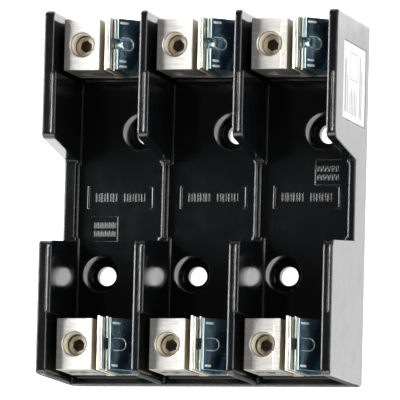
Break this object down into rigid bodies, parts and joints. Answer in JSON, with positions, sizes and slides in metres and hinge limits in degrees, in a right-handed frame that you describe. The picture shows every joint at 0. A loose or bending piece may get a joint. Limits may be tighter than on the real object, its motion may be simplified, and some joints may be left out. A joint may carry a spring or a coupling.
{
  "type": "cartridge fuse holder",
  "caption": "Panel-mounted multi-pole block for knife-blade cartridge fuses, with phase walls, box lugs, sprung blade clips and counterbored mounting holes.",
  "frame": {"origin": "middle of the mounting face, which is the base of the bounding box", "axes": "+X across the poles, +Y along the fuses towards the row with the rejection tongues, +Z out of the mounting panel"},
  "size_m": [0.1482, 0.18, 0.068],
  "materials": {
    "black_phenolic": "moulded, semi-gloss black",
    "label_film": "printed white film, blank",
    "tinned_aluminium": "satin tin plating with fine machining lines",
    "tinned_copper": "tin plated",
    "bright_spring_steel": "bright nickel plating",
    "zinc_steel": "zinc plated"
  },
  "bodies": {
    "holder": {"base": "black_phenolic", "rating_label": "label_film", "lug_upper_1": "tinned_aluminium", "contact_upper_1": "tinned_copper", "backing_upper_1": "zinc_steel", "terminal_screw_upper_1": "zinc_steel", "clip_rivet_upper_1": "zinc_steel", "lug_upper_2": "tinned_aluminium", "contact_upper_2": "tinned_copper", "backing_upper_2": "zinc_steel", "terminal_screw_upper_2": "zinc_steel", "clip_rivet_upper_2": "zinc_steel", "lug_upper_3": "tinned_aluminium", "contact_upper_3": "tinned_copper", "backing_upper_3": "zinc_steel", "terminal_screw_upper_3": "zinc_steel", "clip_rivet_upper_3": "zinc_steel", "lug_lower_1": "tinned_aluminium", "contact_lower_1": "tinned_copper", "backing_lower_1": "zinc_steel", "terminal_screw_lower_1": "zinc_steel", "clip_rivet_lower_1": "zinc_steel", "lug_lower_2": "tinned_aluminium", "contact_lower_2": "tinned_copper", "backing_lower_2": "zinc_steel", "terminal_screw_lower_2": "zinc_steel", "clip_rivet_lower_2": "zinc_steel", "lug_lower_3": "tinned_aluminium", "contact_lower_3": "tinned_copper", "backing_lower_3": "zinc_steel", "terminal_screw_lower_3": "zinc_steel", "clip_rivet_lower_3": "zinc_steel"},
    "sprung_jaw_upper_1": {"moving_jaw_upper_1": "tinned_copper", "spring_leaf_upper_1": "bright_spring_steel", "rejection_tongue_upper_1": "bright_spring_steel"},
    "clamp_screw_upper_1": {"set_screw_upper_1": "zinc_steel"},
    "sprung_jaw_upper_2": {"moving_jaw_upper_2": "tinned_copper", "spring_leaf_upper_2": "bright_spring_steel", "rejection_tongue_upper_2": "bright_spring_steel"},
    "clamp_screw_upper_2": {"set_screw_upper_2": "zinc_steel"},
    "sprung_jaw_upper_3": {"moving_jaw_upper_3": "tinned_copper", "spring_leaf_upper_3": "bright_spring_steel", "rejection_tongue_upper_3": "bright_spring_steel"},
    "clamp_screw_upper_3": {"set_screw_upper_3": "zinc_steel"},
    "sprung_jaw_lower_1": {"moving_jaw_lower_1": "tinned_copper", "spring_leaf_lower_1": "bright_spring_steel"},
    "clamp_screw_lower_1": {"set_screw_lower_1": "zinc_steel"},
    "sprung_jaw_lower_2": {"moving_jaw_lower_2": "tinned_copper", "spring_leaf_lower_2": "bright_spring_steel"},
    "clamp_screw_lower_2": {"set_screw_lower_2": "zinc_steel"},
    "sprung_jaw_lower_3": {"moving_jaw_lower_3": "tinned_copper", "spring_leaf_lower_3": "bright_spring_steel"},
    "clamp_screw_lower_3": {"set_screw_lower_3": "zinc_steel"}
  },
  "joints": [
    {"name": "jaw_opens_upper_1", "type": "hinge", "parent": "holder", "child": "sprung_jaw_upper_1", "pos_m": [-0.0404, 0.0738, 0.0313], "axis": [0, 1, 0], "range_deg": [0, 6.5], "stiffness_Nm_per_rad": 18},
    {"name": "screw_down_upper_1", "type": "slide", "parent": "holder", "child": "clamp_screw_upper_1", "axis": [0, 0, -1], "range_m": [0, 0.0086]},
    {"name": "jaw_opens_upper_2", "type": "hinge", "parent": "holder", "child": "sprung_jaw_upper_2", "pos_m": [0.00665, 0.0738, 0.0313], "axis": [0, 1, 0], "range_deg": [0, 6.5], "stiffness_Nm_per_rad": 18},
    {"name": "screw_down_upper_2", "type": "slide", "parent": "holder", "child": "clamp_screw_upper_2", "axis": [0, 0, -1], "range_m": [0, 0.009]},
    {"name": "jaw_opens_upper_3", "type": "hinge", "parent": "holder", "child": "sprung_jaw_upper_3", "pos_m": [0.0544, 0.0738, 0.0313], "axis": [0, 1, 0], "range_deg": [0, 6.5], "stiffness_Nm_per_rad": 18},
    {"name": "screw_down_upper_3", "type": "slide", "parent": "holder", "child": "clamp_screw_upper_3", "axis": [0, 0, -1], "range_m": [0, 0.0094]},
    {"name": "jaw_opens_lower_1", "type": "hinge", "parent": "holder", "child": "sprung_jaw_lower_1", "pos_m": [-0.0404, -0.0738, 0.0313], "axis": [0, 1, 0], "range_deg": [0, 6.5], "stiffness_Nm_per_rad": 18},
    {"name": "screw_down_lower_1", "type": "slide", "parent": "holder", "child": "clamp_screw_lower_1", "axis": [0, 0, -1], "range_m": [0, 0.0082]},
    {"name": "jaw_opens_lower_2", "type": "hinge", "parent": "holder", "child": "sprung_jaw_lower_2", "pos_m": [0.00665, -0.0738, 0.0313], "axis": [0, 1, 0], "range_deg": [0, 6.5], "stiffness_Nm_per_rad": 18},
    {"name": "screw_down_lower_2", "type": "slide", "parent": "holder", "child": "clamp_screw_lower_2", "axis": [0, 0, -1], "range_m": [0, 0.0086]},
    {"name": "jaw_opens_lower_3", "type": "hinge", "parent": "holder", "child": "sprung_jaw_lower_3", "pos_m": [0.0544, -0.0738, 0.0313], "axis": [0, 1, 0], "range_deg": [0, 6.5], "stiffness_Nm_per_rad": 18},
    {"name": "screw_down_lower_3", "type": "slide", "parent": "holder", "child": "clamp_screw_lower_3", "axis": [0, 0, -1], "range_m": [0, 0.008]}
  ]
}
